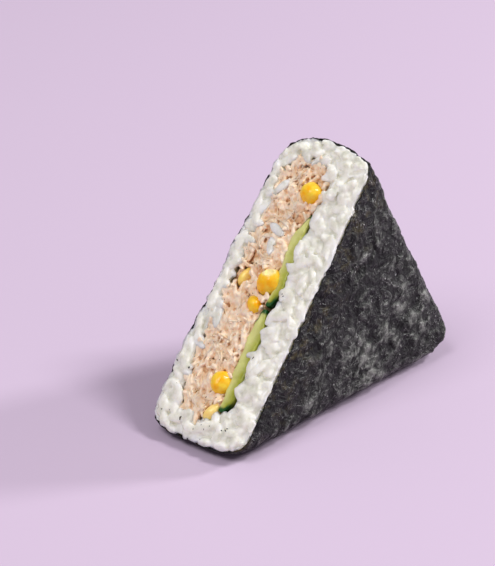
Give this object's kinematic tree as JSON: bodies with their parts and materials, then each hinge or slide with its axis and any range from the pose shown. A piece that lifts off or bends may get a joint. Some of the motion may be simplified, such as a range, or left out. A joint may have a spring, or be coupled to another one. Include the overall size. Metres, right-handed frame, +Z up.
{
  "type": "onigiri rice ball",
  "caption": "Cut triangular rice ball in a nori wrap, standing on its base, with tuna, sweetcorn and cucumber showing in the slanting cut face.",
  "frame": {"origin": "centre of the bounding box on the surface that the piece stands on", "axes": "+Z up; +X along the base from the foot of the cut to the far corner, so the cut face looks towards -X and up; -Y is the front triangular face"},
  "size_m": [0.0758, 0.0286, 0.0584],
  "materials": {
    "nori": "pressed dry seaweed sheet, dull with soft sheen",
    "rice": "steamed short grain rice, moist and translucent",
    "tuna": "moist shredded tuna with dressing",
    "cucumber": "wet cucumber flesh with dark green skin",
    "corn": "glossy cooked sweetcorn"
  },
  "bodies": {
    "root": {"nori": "nori", "rice": "rice", "tuna_filling": "tuna", "cucumber_upper": "cucumber", "cucumber_lower": "cucumber", "corn_1": "corn", "corn_2": "corn", "corn_3": "corn", "corn_4": "corn", "corn_5": "corn", "corn_6": "corn"}
  },
  "joints": []
}
